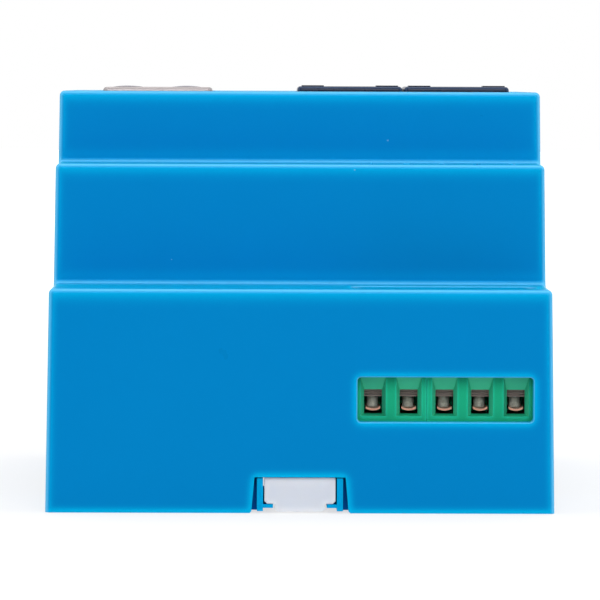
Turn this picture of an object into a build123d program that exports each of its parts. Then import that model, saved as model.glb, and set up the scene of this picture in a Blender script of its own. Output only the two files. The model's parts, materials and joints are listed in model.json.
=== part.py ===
from build123d import *
import math
import os

# Four-module energy meter for a 35 mm rail. It lies on its rear side:
# X is its width, Y its length along which it steps back, Z runs from the rear rim to the front face.
# The supply terminals are at the -Y end and the current sensor terminals at the +Y end. Millimetres.

# Housing: three tiers, each shorter and higher than the one before
width_rear = 71.0
side_draft = 0.9
base_length = 90.0
lower_step = 13.9
upper_step = 8.6
base_height = 31.2
middle_rise = 17.1
front_rise = 10.3
wall = 2.0
edge_radius = 0.7
window_edge_radius = 0.25

# Rail seat: the rail's flanges bear on the ceiling of a channel across the rear
rail_width = 35.0
rail_flange = 1.0
bearing_height = 5.0
rail_gap_hook_side = 0.2
rail_gap_latch_side = 0.7
hook_reach = 2.0
hook_gap = 0.15
hook_width = 12.0
hook_spacing = 36.0

# Rear base: a tray that closes the cover, with the channel and the latch guides in it
base_rim_gap = 0.25
base_floor = 2.0
base_fit = 0.15
base_rim_height = 6.0
base_rim_wall = 1.2
tab_width = 7.0
tab_board_gap = 0.5
tab_spacing = 58.0
tab_bump = 0.6
tab_bump_height = 1.6

# Rail latch: a flat slider with a T section, guided by two walls with ledges
latch_width = 9.9
latch_tongue_width = 7.0
latch_notch_gap = 0.1
latch_shoulder = 1.25
latch_bottom = 0.15
latch_front_recess = 0.6
latch_nose_reach = 2.5
latch_travel = 3.5
latch_side_gap = 0.2
latch_ledge_gap = 0.25
latch_running_gap = 0.05
latch_top_gap = 0.2
guide_wall = 0.85
ledge_thickness = 0.5
bay_roof = 1.5
notch_gap = 0.35
notch_flare = 0.42
notch_corner = 0.25
peg_inset = 10.8
peg_length = 2.0
peg_width = 1.6
peg_gap = 0.15
peg_depth = 1.1
finger_length = 13.0
finger_thickness = 1.1
finger_slot = 0.9
pull_slot_width = 4.6
pull_slot_length = 2.2
pull_slot_depth = 3.0

# Circuit boards
board_thickness = 1.6
power_board_low = 10.0
power_board_margin = 0.5
comms_board_margin = 0.6
board_clearance = 0.12
riser_margin = 6.8
riser_lamp_gap = 3.5
riser_tab_width = 6.0
riser_tab_spacing = 32.0
board_screw_inset = 7.0
comms_screw_inset = 7.5
comms_screw_step = 2.5
pillar_radius = 3.0
screw_shank_radius = 1.1
screw_hole_gap = 0.1
screw_bite_gap = 0.03
screw_end_gap = 1.0
board_screw_head_radius = 2.2
board_screw_head = 1.5
board_screw_bite = 6.0
boss_skin = 1.2

# Screw terminals: pole by pole the same, in blocks set side by side
pole_pitch = 5.0
supply_pole_counts = (2, 3)
sensor_pole_counts = (3, 3)
terminal_side_margin = 2.8
block_recess = 2.6
block_depth = 8.6
block_chamfer = 1.4
block_seam = 0.05
block_front_wall = 1.8
funnel_rib = 1.47
funnel_low = 1.8
funnel_height = 5.5
funnel_depth = 1.2
entry_width = 2.5
entry_low = 2.05
entry_height = 3.4
cage_partition = 0.86
cage_length = 5.0
cage_top_bar = 1.75
cage_bar_drop = 1.0
cage_bottom_bar = 0.85
cage_bottom_drop = 0.05
cage_side_wall = 0.6
cage_clearance = 0.12
cage_pin_width = 1.0
cage_pin_length = 1.4
pin_past_board = 1.4
screw_thread_radius = 1.25
screw_running_gap = 0.05
screw_pilot_radius = 0.82
screw_pilot_below_bar = 1.65
screw_tip_sphere = 1.1
screw_head_radius = 1.85
screw_head_lift = 1.5
screw_head_height = 1.3
screw_head_sink = 1.1
screw_head_chamfer = 0.25
screw_slot_width = 0.7
screw_slot_depth = 0.8
screw_slot_turn = 47.0
screw_well_gap = 0.2
guard_side_gap = 0.35
guard_thickness = 0.27
guard_curve = 1.7
guard_gap = 0.03
guard_front_reach = 0.9
terminal_window_low = 1.16
terminal_window_height = 6.21
terminal_window_cover = 0.25
terminal_window_corner = 0.5
access_window_length = 7.0
access_window_extra = 1.0
access_window_corner = 2.0

# Modular jacks, open towards the front
jack_width = 15.2
jack_length = 14.0
jack_height = 16.6
jack_proud = 0.75
jack_front_margin = 5.0
jack_right_margin = 5.1
jack_left_margin = 6.75
jack_pair_gap = 0.3
jack_cutout_gap = 0.25
jack_back_wall = 2.3
jack_edge_radius = 0.6
jack_rim_radius = 0.5
jack_pad_width = 3.8
jack_pad_height = 0.15
plug_width = 11.9
plug_length = 7.0
plug_depth = 12.4
plug_catch_width = 6.4
plug_catch_length = 1.6
plug_clip_width = 4.2
plug_clip_length = 1.2
contact_count = 8
contact_pitch = 1.02
contact_width = 0.4
contact_thickness = 0.3
contact_slot_width = 0.62
contact_slot_depth = 1.7
contact_slot_skin = 1.2
contact_leg_set = 1.2
contact_bend_drop = 2.2
contact_tip_set = 1.8
contact_tip_drop = 9.1
shield_sheet = 0.25
shield_gap = 0.05
shield_drop = 0.2
shield_fold_radius = 0.5
shield_finger_bulge = 0.25
shield_finger_width = 3.0
shield_finger_spacing = 6.4
shield_finger_length = 3.4
shield_bow_width = 5.8
shield_bow_spacing = 8.5
shield_bow_height = 0.2
shield_bow_depth = 0.8

# Status lamps on the comms board and light pipes to the front face
lamp_count = 3
lamp_pitch = 7.0
lamp_side = 5.2
lamp_length = 2.0
lamp_width = 1.25
lamp_height = 0.9
pipe_radius = 0.9
pipe_flange_radius = 1.6
pipe_flange = 0.8
pipe_gap = 0.1
pipe_sunk = 0.1
pipe_chamfer = 0.1

# Parts on the power board
transformer_side = 18.5
transformer_riser_gap = 12.0
core_width = 16.0
core_length = 14.0
core_thickness = 5.0
core_leg = 4.6
core_yoke = 2.6
core_side = 2.3
winding_overhang = 3.6
winding_gap = 0.15
capacitor_radius = 5.0
capacitor_side_gap = 6.0
capacitor_end_gap = 3.0
capacitor_gap = 1.0
capacitor_roof_gap = 1.6
capacitor_rim = 0.5
neck_place = 2.0
neck_height = 1.0
neck_depth = 0.5
fuse_width = 4.0
fuse_length = 8.5
fuse_height = 7.5
fuse_gap = 3.5
fuse_shift = 4.0
varistor_count = 3
varistor_pitch = 6.0
varistor_block_gap = 1.8
varistor_radius = 4.5
varistor_thickness = 3.6
varistor_rim = 0.5
varistor_leg = 2.0
varistor_leg_radius = 0.4

# Chips
measuring_chip_size = (10.0, 7.5, 2.3)
measuring_chip_pins = 8
processor_chip_size = (12.0, 9.0, 1.6)
processor_chip_pins = 9
chip_pin_pitch = 1.1
chip_pin_width = 0.4
chip_pin_reach = 1.0
chip_pin_thickness = 0.25
chip_chamfer = 0.3

# How far a cut runs past the face that it opens, and how near an edge lies to the face that it is on
past = 1.0
touching = 0.01

# Places worked out from the sizes above
middle_length = base_length - 2 * lower_step
front_length = middle_length - 2 * upper_step
middle_height = base_height + middle_rise
front_height = middle_height + front_rise
tiers = (
    (base_length / 2, base_height),
    (middle_length / 2, middle_height),
    (front_length / 2, front_height),
)
hook_wall = rail_width / 2 + rail_gap_hook_side
latch_wall = -rail_width / 2 - rail_gap_latch_side
flange_low = bearing_height - rail_flange
base_ceiling = bearing_height + base_floor
floor_top = base_rim_gap + base_floor
latch_top = bearing_height - latch_notch_gap
latch_front = -base_length / 2 + latch_front_recess
latch_back = latch_wall
guide_front = -base_length / 2 + latch_front_recess / 2
guide_inner = latch_width / 2 + latch_side_gap
guide_outer = guide_inner + guide_wall
ledge_high = latch_shoulder - latch_running_gap
ledge_low = ledge_high - ledge_thickness
ledge_tip = latch_tongue_width / 2 + latch_ledge_gap
bay_ceiling = latch_top + latch_top_gap
peg_place = latch_wall - peg_inset
power_board_top = power_board_low + board_thickness
jack_top = front_height + jack_proud
comms_board_top = jack_top - jack_height
comms_board_low = comms_board_top - board_thickness
screw_hole_radius = screw_shank_radius + screw_hole_gap
supply_centre = width_rear / 2 - terminal_side_margin - sum(supply_pole_counts) * pole_pitch / 2
sensor_centre = width_rear / 2 - terminal_side_margin - sum(sensor_pole_counts) * pole_pitch / 2
terminal_rows = ((supply_centre, supply_pole_counts, 0), (sensor_centre, sensor_pole_counts, 180))
block_face = -base_length / 2 + block_recess
block_back = block_face + block_depth
entry_bottom = power_board_top + entry_low
entry_top = entry_bottom + entry_height
cage_front = block_face + block_front_wall + cage_clearance
bar_low = entry_top - cage_bar_drop
cage_high = bar_low + cage_top_bar
cage_floor = entry_bottom - cage_bottom_drop
cage_low = cage_floor - cage_bottom_bar
screw_axis = cage_front + cage_length / 2
screw_tip = bar_low - screw_pilot_below_bar
guard_top = screw_tip - guard_gap
cage_width = pole_pitch - cage_partition - 2 * cage_clearance
block_top = cage_high + screw_head_lift + screw_head_height + screw_head_sink
board_screw_x = width_rear / 2 - board_screw_inset
board_screw_y = -(latch_wall - base_floor + block_back) / 2
comms_screw_x = width_rear / 2 - comms_screw_inset
comms_screw_y = front_length / 2 + comms_screw_step
boss_hole_top = middle_height - boss_skin
jack_place = -front_length / 2 + jack_front_margin + jack_length / 2
bus_jack_right = width_rear / 2 - jack_right_margin - jack_width / 2
bus_jack_left = bus_jack_right - jack_width - jack_pair_gap
network_half = jack_width / 2 + shield_sheet + shield_finger_bulge
network_jack_centre = -width_rear / 2 + jack_left_margin + network_half
shield_top = jack_top - shield_drop
network_body_top = shield_top - shield_sheet - shield_gap
plug_side = jack_length / 2 - jack_back_wall
lamp_row = (jack_place + jack_length / 2 + front_length / 2 - wall) / 2
lamp_places = [-width_rear / 2 + lamp_side + i * lamp_pitch for i in range(lamp_count)]
riser_place = lamp_row - riser_lamp_gap
transformer_x = -width_rear / 2 + transformer_side
transformer_y = riser_place - transformer_riser_gap - core_length / 2


def box(x, y, z):
    """A plain block between pairs of limits along X, Y and Z."""
    limits = (x, y, z)
    sizes = [high - low for low, high in limits]
    centre = [(low + high) / 2 for low, high in limits]
    return Pos(*centre) * Box(*sizes)


def upright(radius, x, y, low, high):
    """A round bar along Z."""
    return Pos(x, y, (low + high) / 2) * Cylinder(radius, high - low)


def along_x(points, low, high):
    """An outline in Y and Z drawn out between two places on X."""
    middle = Plane.YZ.offset((low + high) / 2)
    return extrude(middle * Polygon(*points, align=None), (high - low) / 2, both=True)


def along_y(points, low, high):
    """An outline in X and Z drawn out between two places on Y."""
    middle = Plane.XZ.offset(-(low + high) / 2)
    return extrude(middle * Polygon(*points, align=None), (high - low) / 2, both=True)


def corners(x, y):
    """The four corners of a rectangle about the middle."""
    return [(across * x, along * y) for across in (-1, 1) for along in (-1, 1)]


# Cover

def half_width(height, inset=0.0):
    """Half of the drafted width at a height."""
    return width_rear / 2 - inset - height * math.tan(math.radians(side_draft))


def tier_block(inset, rear):
    """The stepped, drafted block, with all but its rear moved in by inset."""
    side = []
    floor = rear
    for half_length, height in tiers:
        side += [(half_length - inset, floor), (half_length - inset, height - inset)]
        floor = height - inset
    outline = side + [(-y, z) for y, z in reversed(side)]
    lengthwise = along_x(outline, -width_rear / 2, width_rear / 2)
    across = [
        (-half_width(rear, inset), rear),
        (half_width(rear, inset), rear),
        (half_width(front_height, inset), front_height),
        (-half_width(front_height, inset), front_height),
    ]
    return lengthwise & along_y(across, -base_length / 2, base_length / 2)


def row_width(pole_counts):
    """Width of a row of terminal blocks."""
    return sum(pole_counts) * pole_pitch


def end_window(centre, pole_counts, end):
    """The wire window in an end wall, with rounded corners."""
    width = row_width(pole_counts) - 2 * terminal_window_cover
    middle = power_board_top + terminal_window_low + terminal_window_height / 2
    face = Plane((centre, end * base_length / 2, middle), (1, 0, 0), (0, -1, 0))
    opening = face * RectangleRounded(width, terminal_window_height, terminal_window_corner)
    return extrude(opening, 2 * wall, both=True)


def access_window(centre, pole_counts, end):
    """The window in the lower step through which a driver reaches the terminal screws."""
    width = row_width(pole_counts) + access_window_extra
    place = Pos(centre, -end * screw_axis, base_height)
    opening = place * RectangleRounded(width, access_window_length, access_window_corner)
    return extrude(opening, 2 * wall, both=True)


def near(edges, axis, low, high):
    """The edges whose middles lie between two places along an axis."""
    return edges.filter_by_position(axis, low - touching, high + touching)


def round_window(body, window, axis, face):
    """Rounds a window's rim on the outer face that lies at a place along an axis."""
    limits = window.bounding_box()
    rim = near(body.edges(), axis, face, face)
    rim = near(rim, Axis.X, limits.min.X, limits.max.X)
    rim = near(rim, Axis.Y, limits.min.Y, limits.max.Y)
    rim = near(rim, Axis.Z, limits.min.Z, limits.max.Z)
    return fillet(rim, window_edge_radius)


def jack_cutout(low, high, length):
    """A cut-out in the front face for one jack or a pair."""
    gap = jack_cutout_gap
    y = (jack_place - length / 2 - gap, jack_place + length / 2 + gap)
    return box((low - gap, high + gap), y, (front_height - 2 * wall, front_height + wall))


def latch_notch():
    """The notch in the end wall that lets the latch out."""
    high = guide_outer + notch_gap
    low = high + notch_flare
    outline = [
        (-low - notch_corner, -wall),
        (low + notch_corner, -wall),
        (low + notch_corner, 0),
        (low, notch_corner),
        (high, bearing_height),
        (-high, bearing_height),
        (-low, notch_corner),
        (-low - notch_corner, 0),
    ]
    return along_y(outline, -base_length / 2 - wall, -base_length / 2 + 2 * wall)


def tab_places():
    """Side and place along Y of each snap tab."""
    return [(side, end * tab_spacing / 2) for side in (-1, 1) for end in (-1, 1)]


def tab_pocket(side, y):
    """The pocket inside a side wall that a snap tab's bump sits in."""
    high = power_board_low - tab_board_gap - tab_bump
    low = high - tab_bump_height
    inner = half_width(high, wall)
    outer = inner + tab_bump + base_fit
    x = (inner - wall, outer) if side > 0 else (-outer, -inner + wall)
    reach = tab_width / 2 + base_fit
    return box(x, (y - reach, y + reach), (low - base_fit, high + base_fit))


def make_cover():
    """The one-piece housing: stepped shell, bosses inside, windows and cut-outs."""
    body = tier_block(0.0, 0.0)
    rounded = [edge for edge in body.edges() if edge.center().Z > edge_radius]
    body = fillet(rounded, edge_radius)
    body -= tier_block(wall, -wall)
    for x, y in corners(comms_screw_x, comms_screw_y):
        body += upright(pillar_radius, x, y, comms_board_top, middle_height - wall / 2)
        body -= upright(screw_shank_radius + screw_bite_gap, x, y, 0, boss_hole_top)
    for side, y in tab_places():
        body -= tab_pocket(side, y)
    body -= box((-width_rear, width_rear), (latch_wall, hook_wall), (-wall, bearing_height))
    body -= latch_notch()
    for centre, pole_counts, turn in terminal_rows:
        end = 1 if turn else -1
        window = end_window(centre, pole_counts, end)
        body = round_window(body - window, window, Axis.Y, end * base_length / 2)
        window = access_window(centre, pole_counts, end)
        body = round_window(body - window, window, Axis.Z, base_height)
    left = network_jack_centre - network_half
    body -= jack_cutout(left, left + 2 * network_half, jack_length + 2 * shield_sheet)
    body -= jack_cutout(bus_jack_left - jack_width / 2, bus_jack_right + jack_width / 2, jack_length)
    for x in lamp_places:
        body -= upright(pipe_radius + pipe_gap, x, lamp_row, front_height - 2 * wall, front_height + wall)
    return body


# Rear base

def make_rear_base():
    """The tray that closes the rear: two floors, the rail channel between them and the latch guides."""
    end = base_length / 2 - wall - base_fit
    lip = flange_low - hook_gap
    tip = hook_wall - hook_reach
    outline = [
        (-end, base_rim_gap),
        (latch_wall, base_rim_gap),
        (latch_wall, bearing_height),
        (hook_wall, bearing_height),
        (hook_wall, lip),
        (tip, lip),
        (tip, lip / 2),
        (hook_wall, base_rim_gap),
        (end, base_rim_gap),
        (end, floor_top),
        (hook_wall + base_floor, floor_top),
        (hook_wall + base_floor, base_ceiling),
        (latch_wall - base_floor, base_ceiling),
        (latch_wall - base_floor, floor_top),
        (-end, floor_top),
    ]
    half = half_width(0, wall + base_fit)
    body = along_x(outline, -half, half)
    hook_inner = (hook_spacing - hook_width) / 2
    hook_outer = (hook_spacing + hook_width) / 2
    for low, high in ((-half, -hook_outer), (-hook_inner, hook_inner), (hook_outer, half)):
        body -= box((low, high), (tip - hook_gap, hook_wall), (0, bearing_height))
    for side in (-1, 1):
        inner = end - base_rim_wall
        body += box((-half, half), sorted((side * inner, side * end)), (base_rim_gap, base_rim_height))
    body &= tier_block(wall + base_fit, 0.0)
    for side, y in tab_places():
        body += snap_tab(side, y)
    hole_low = power_board_low - board_screw_bite
    for x, y in corners(board_screw_x, board_screw_y):
        body += upright(pillar_radius, x, y, base_rim_gap + base_floor / 2, power_board_low)
        body -= upright(screw_shank_radius + screw_bite_gap, x, y, hole_low, power_board_top)
    return body + latch_housing() - latch_bay() + latch_peg()


def snap_tab(side, y):
    """One upright tab with a bump that snaps into the cover's side wall."""
    high = power_board_low - tab_board_gap
    bump_high = high - tab_bump
    bump_low = bump_high - tab_bump_height
    face = half_width(high, wall + base_fit)
    back = face - base_rim_wall
    outline = [
        (back, base_rim_gap),
        (face, base_rim_gap),
        (face, bump_low),
        (face + tab_bump, bump_low),
        (face + tab_bump, bump_low + tab_bump_height / 2),
        (face, bump_high),
        (face, high),
        (back, high),
    ]
    if side < 0:
        outline = [(-x, z) for x, z in reversed(outline)]
    return along_y(outline, y - tab_width / 2, y + tab_width / 2)


def latch_housing():
    """The walls and roof around the latch, before the bay is cut out. The walls reach into the notch."""
    x = (-guide_outer, guide_outer)
    inside = -base_length / 2 + wall + base_fit
    housing = box(x, (inside, latch_wall), (base_rim_gap, bay_ceiling + bay_roof))
    return housing + box(x, (guide_front, inside), (base_rim_gap, bearing_height - base_fit))


def latch_bay():
    """The space that the latch slides in, down to the ledges that carry it."""
    y = (guide_front - wall, latch_wall + wall / 2)
    slide_room = box((-guide_inner, guide_inner), y, (ledge_high, bay_ceiling))
    tongue_room = box((-ledge_tip, ledge_tip), y, (-wall, ledge_high))
    under_ledges = box((-guide_inner, guide_inner), y, (-wall, ledge_low))
    return slide_room + tongue_room + under_ledges


def latch_peg():
    """The stop that hangs from the bay's roof into the slider's groove."""
    y = (peg_place - peg_length / 2, peg_place + peg_length / 2)
    return box((-peg_width / 2, peg_width / 2), y, (latch_top - peg_depth, bay_ceiling + bay_roof / 2))


# Rail latch

def make_rail_latch():
    """The white slider: T section, nose that catches the rail, stop groove and two spring fingers."""
    half = latch_width / 2
    tongue = latch_tongue_width / 2
    corner = half - tongue
    section = [
        (-tongue, latch_bottom + corner / 4),
        (-tongue + corner / 4, latch_bottom),
        (tongue - corner / 4, latch_bottom),
        (tongue, latch_bottom + corner / 4),
        (tongue, latch_shoulder),
        (half - corner / 4, latch_shoulder),
        (half, latch_shoulder + corner / 4),
        (half, latch_top),
        (-half, latch_top),
        (-half, latch_shoulder + corner / 4),
        (-half + corner / 4, latch_shoulder),
        (-tongue, latch_shoulder),
    ]
    body = along_y(section, latch_front, latch_back)
    nose_top = flange_low - hook_gap
    nose_tip = -rail_width / 2 + latch_nose_reach
    nose = [
        (latch_back - peg_length, latch_bottom),
        (latch_back, latch_bottom),
        (nose_tip, nose_top - rail_flange),
        (nose_tip, nose_top),
        (latch_back - peg_length, nose_top),
    ]
    body += along_x(nose, -tongue, tongue)
    groove_low = peg_place - peg_length / 2 - peg_gap
    groove_high = peg_place + peg_length / 2 + latch_travel + peg_gap
    groove_half = peg_width / 2 + peg_gap
    groove_floor = latch_top - peg_depth - peg_gap
    body -= box((-groove_half, groove_half), (groove_low, groove_high), (groove_floor, latch_top + peg_gap))
    finger_root = (latch_front + latch_back - finger_length) / 2
    finger_end = finger_root + finger_length
    finger_inner = half - finger_thickness
    for side in (-1, 1):
        slot = sorted((side * finger_inner, side * (finger_inner - finger_slot)))
        body -= box(slot, (finger_root, finger_end), (latch_bottom, latch_top + peg_gap))
        slot = sorted((side * finger_inner, side * (half + finger_slot)))
        body -= box(slot, (finger_end - finger_slot, finger_end), (latch_shoulder, latch_top + peg_gap))
    pull = (latch_front + pull_slot_length, latch_front + 2 * pull_slot_length)
    body -= box((-pull_slot_width / 2, pull_slot_width / 2), pull, (0, pull_slot_depth))
    return body


# Circuit boards

def cage_pin_places():
    """Every terminal pin's place on the power board."""
    places = []
    for centre, pole_counts, turn in terminal_rows:
        for x in pole_places(pole_counts):
            sign = -1 if turn else 1
            places.append((centre + sign * x, sign * screw_axis))
    return places


def riser_slots(low, high):
    """Slots that the riser board's tabs pass through."""
    slots = []
    for side in (-1, 1):
        x = side * riser_tab_spacing / 2
        reach = riser_tab_width / 2 + board_clearance
        y = (riser_place - board_clearance, riser_place + board_thickness + board_clearance)
        slots.append(box((x - reach, x + reach), y, (low, high)))
    return slots


def make_power_board():
    """The lower board: supply, surge protection and both terminal rows."""
    half_x = half_width(power_board_top, wall) - power_board_margin
    half_y = base_length / 2 - wall - power_board_margin
    body = box((-half_x, half_x), (-half_y, half_y), (power_board_low, power_board_top))
    low = power_board_low - past
    high = power_board_top + past
    for x, y in corners(board_screw_x, board_screw_y):
        body -= upright(screw_hole_radius, x, y, low, high)
    for slot in riser_slots(low, high):
        body -= slot
    reach_x = cage_pin_width / 2 + board_clearance
    reach_y = cage_pin_length / 2 + board_clearance
    for x, y in cage_pin_places():
        body -= box((x - reach_x, x + reach_x), (y - reach_y, y + reach_y), (low, high))
    return body


def make_comms_board():
    """The upper board: jacks and status lamps, hung from the cover's bosses."""
    half_x = half_width(comms_board_top, wall) - comms_board_margin
    half_y = middle_length / 2 - wall - comms_board_margin
    body = box((-half_x, half_x), (-half_y, half_y), (comms_board_low, comms_board_top))
    low = comms_board_low - past
    high = comms_board_top + past
    for x, y in corners(comms_screw_x, comms_screw_y):
        body -= upright(screw_hole_radius, x, y, low, high)
    for slot in riser_slots(low, high):
        body -= slot
    return body


def make_riser_board():
    """The upright board between the other two, held by tabs in their slots."""
    y = (riser_place, riser_place + board_thickness)
    half = half_width(comms_board_low, wall) - riser_margin
    body = box((-half, half), y, (power_board_top, comms_board_low))
    for side in (-1, 1):
        x = side * riser_tab_spacing / 2
        reach = riser_tab_width / 2
        body += box((x - reach, x + reach), y, (power_board_low, comms_board_top))
    return body


def pan_screw(x, y, seat, bite, up):
    """A small pan-head screw. Its head sits at seat and its shank runs down, or up, by bite."""
    way = 1 if up else -1
    head = sorted((seat, seat - way * board_screw_head))
    shank = sorted((seat, seat + way * bite))
    body = upright(board_screw_head_radius, x, y, *head)
    rim = body.edges().filter_by(GeomType.CIRCLE).sort_by(Axis.Z)
    body = chamfer(rim[0] if up else rim[-1], board_screw_head / 3)
    body += upright(screw_shank_radius, x, y, *shank)
    top = seat - way * board_screw_head
    arm = board_screw_head_radius / 2
    for half_x, half_y in ((arm, arm / 4), (arm / 4, arm)):
        depth = board_screw_head / 2
        body -= box((x - half_x, x + half_x), (y - half_y, y + half_y), (top - depth, top + depth))
    return body


def make_board_screws():
    """Four screws that hold the power board on the rear base's pillars."""
    bite = board_thickness + board_screw_bite - screw_end_gap
    places = corners(board_screw_x, board_screw_y)
    return Compound([pan_screw(x, y, power_board_top, bite, False).solid() for x, y in places])


def make_comms_screws():
    """Four screws that hang the comms board from the cover's bosses."""
    bite = boss_hole_top - comms_board_low - screw_end_gap
    places = corners(comms_screw_x, comms_screw_y)
    return Compound([pan_screw(x, y, comms_board_low, bite, True).solid() for x, y in places])


# Screw terminals. A row is drawn about its own middle, facing -Y, and then turned and set in place.

def pole_places(pole_counts):
    """The poles' places along X about the row's middle."""
    count = sum(pole_counts)
    return [(i - (count - 1) / 2) * pole_pitch for i in range(count)]


def set_row(shape, centre, turn):
    """Puts a piece drawn about the row's middle in its place."""
    return Pos(centre, 0, 0) * Rot(0, 0, turn) * shape


def wire_funnel(x):
    """The sloped mouth in front of one wire entry."""
    mouth_middle = power_board_top + funnel_low + funnel_height / 2
    throat_middle = entry_bottom + entry_height / 2
    mouth = Plane((x, block_face, mouth_middle), (1, 0, 0), (0, -1, 0))
    throat = Plane((x, block_face + funnel_depth, throat_middle), (1, 0, 0), (0, -1, 0))
    wide = mouth * Rectangle(pole_pitch - funnel_rib, funnel_height)
    return loft([wide, throat * Rectangle(entry_width, entry_height)])


def terminal_block(poles):
    """A green moulded block with a funnel, a cage cell and a screw well for each pole."""
    outline = [
        (block_face, power_board_top),
        (block_back, power_board_top),
        (block_back, block_top - block_chamfer / 2),
        (block_back - block_chamfer / 2, block_top),
        (block_face + block_chamfer, block_top),
        (block_face, block_top - block_chamfer),
    ]
    low = poles[0] - pole_pitch / 2 + block_seam / 2
    high = poles[-1] + pole_pitch / 2 - block_seam / 2
    body = along_x(outline, low, high)
    cell_half = cage_width / 2 + cage_clearance
    cell_y = (cage_front - cage_clearance, cage_front + cage_length + cage_clearance)
    for x in poles:
        body -= wire_funnel(x)
        entry = (x - entry_width / 2, x + entry_width / 2)
        body -= box(entry, (block_face + funnel_depth, cage_front), (entry_bottom, entry_top))
        cell_z = (power_board_top - past, cage_high + cage_clearance)
        body -= box((x - cell_half, x + cell_half), cell_y, cell_z)
        body -= upright(screw_head_radius + screw_well_gap, x, screw_axis, cage_high, block_top + past)
    return body


def clamp_cage(x):
    """The metal ring that holds the wire, with a tapped top bar and a pin through the board."""
    half = cage_width / 2
    back = cage_front + cage_length
    body = box((x - half, x + half), (cage_front, back), (cage_low, cage_high))
    room = half - cage_side_wall
    body -= box((x - room, x + room), (cage_front - past, back + past), (cage_floor, bar_low))
    tapped = screw_thread_radius + screw_running_gap
    body -= upright(tapped, x, screw_axis, bar_low - cage_bar_drop, cage_high + past)
    pin_x = (x - cage_pin_width / 2, x + cage_pin_width / 2)
    pin_y = (screw_axis - cage_pin_length / 2, screw_axis + cage_pin_length / 2)
    return body + box(pin_x, pin_y, (power_board_low - pin_past_board, cage_low))


def wire_guard(x):
    """The curved springy strip between a screw's end and the wire."""
    width = cage_width - 2 * cage_side_wall - 2 * guard_side_gap
    ring = Circle(guard_curve + guard_thickness) - Circle(guard_curve)
    strip = ring & (Pos(0, -guard_curve) * Rectangle(width, 2 * guard_curve))
    front = cage_front - guard_front_reach
    length = cage_front + cage_length - front
    plane = Plane((x, front, guard_top + guard_curve), (1, 0, 0), (0, -1, 0))
    return extrude(plane * strip, -length)


def clamp_screw(x, turn):
    """A slotted clamp screw with a round-ended pilot and a plain shank. The slot stops at any turn."""
    rise = screw_tip_sphere - math.sqrt(screw_tip_sphere**2 - screw_pilot_radius**2)
    mid = screw_pilot_radius / 2
    mid_rise = screw_tip_sphere - math.sqrt(screw_tip_sphere**2 - mid**2)
    head_top = block_top - screw_head_sink
    head_low = head_top - screw_head_height
    tip = ThreePointArc((0, screw_tip), (mid, screw_tip + mid_rise), (screw_pilot_radius, screw_tip + rise))
    side = Polyline(
        (screw_pilot_radius, screw_tip + rise),
        (screw_pilot_radius, bar_low + screw_running_gap),
        (screw_thread_radius, bar_low + screw_running_gap),
        (screw_thread_radius, head_low),
        (screw_head_radius, head_low),
        (screw_head_radius, head_top - screw_head_chamfer),
        (screw_head_radius - screw_head_chamfer, head_top),
        (0, head_top),
        (0, screw_tip),
    )
    body = revolve(Plane.XZ * make_face(tip + side), Axis.Z)
    slot_x = (-screw_head_radius - past, screw_head_radius + past)
    slot_y = (-screw_slot_width / 2, screw_slot_width / 2)
    body -= box(slot_x, slot_y, (head_top - screw_slot_depth, head_top + past))
    return Pos(x, screw_axis, 0) * Rot(0, 0, turn) * body


# Modular jacks

def plug_outline(grow=0.0):
    """The plug opening seen from the front: plug, catch step and clip step, about the jack's middle."""
    main_low = plug_side - plug_length
    main = Pos(0, plug_side - plug_length / 2) * Rectangle(plug_width + 2 * grow, plug_length + 2 * grow)
    catch_low = main_low - plug_catch_length
    catch_place = Pos(0, (main_low + catch_low) / 2)
    catch = catch_place * Rectangle(plug_catch_width + 2 * grow, plug_catch_length + 2 * grow)
    clip_place = Pos(0, catch_low - plug_clip_length / 2)
    clip = clip_place * Rectangle(plug_clip_width + 2 * grow, plug_clip_length + 2 * grow)
    return main + catch + clip


def contact_places():
    """The contacts' places along X about the jack's middle."""
    return [(i - (contact_count - 1) / 2) * contact_pitch for i in range(contact_count)]


def round_box(body, upright_radius, rim_radius):
    """Rounds a box's upright edges and then the rim of its top."""
    body = fillet(body.edges().filter_by(Axis.Z), upright_radius)
    return fillet(body.faces().sort_by(Axis.Z)[-1].edges(), rim_radius)


def jack_body(centre, width, length, top):
    """A jack's plastic body with its plug opening and the comb of contact slots."""
    half = width / 2
    body = box((-half, half), (-length / 2, length / 2), (comms_board_top, top))
    body = round_box(body, jack_edge_radius, jack_rim_radius)
    body -= extrude(Pos(0, 0, top + past) * plug_outline(), -plug_depth - past)
    slot_y = (plug_side, plug_side + contact_slot_depth)
    slot_z = (comms_board_top - past, top - contact_slot_skin)
    half_slot = contact_slot_width / 2
    for x in contact_places():
        body -= box((x - half_slot, x + half_slot), slot_y, slot_z)
    return Pos(centre, jack_place, 0) * body


def bus_jack_body(centre):
    """A black jack: the plain body with two raised pads at its ends."""
    body = jack_body(0, jack_width, jack_length, jack_top)
    pad_outer = jack_width / 2 - jack_edge_radius
    pad_inner = jack_width / 2 - jack_pad_width
    front = jack_place - jack_length / 2 + jack_edge_radius
    back = jack_place + plug_side - plug_length - jack_edge_radius
    for side in (-1, 1):
        x = sorted((side * pad_inner, side * pad_outer))
        body += box(x, (front, back), (jack_top - jack_pad_height, jack_top + jack_pad_height))
    return Pos(centre, 0, 0) * body


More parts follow.
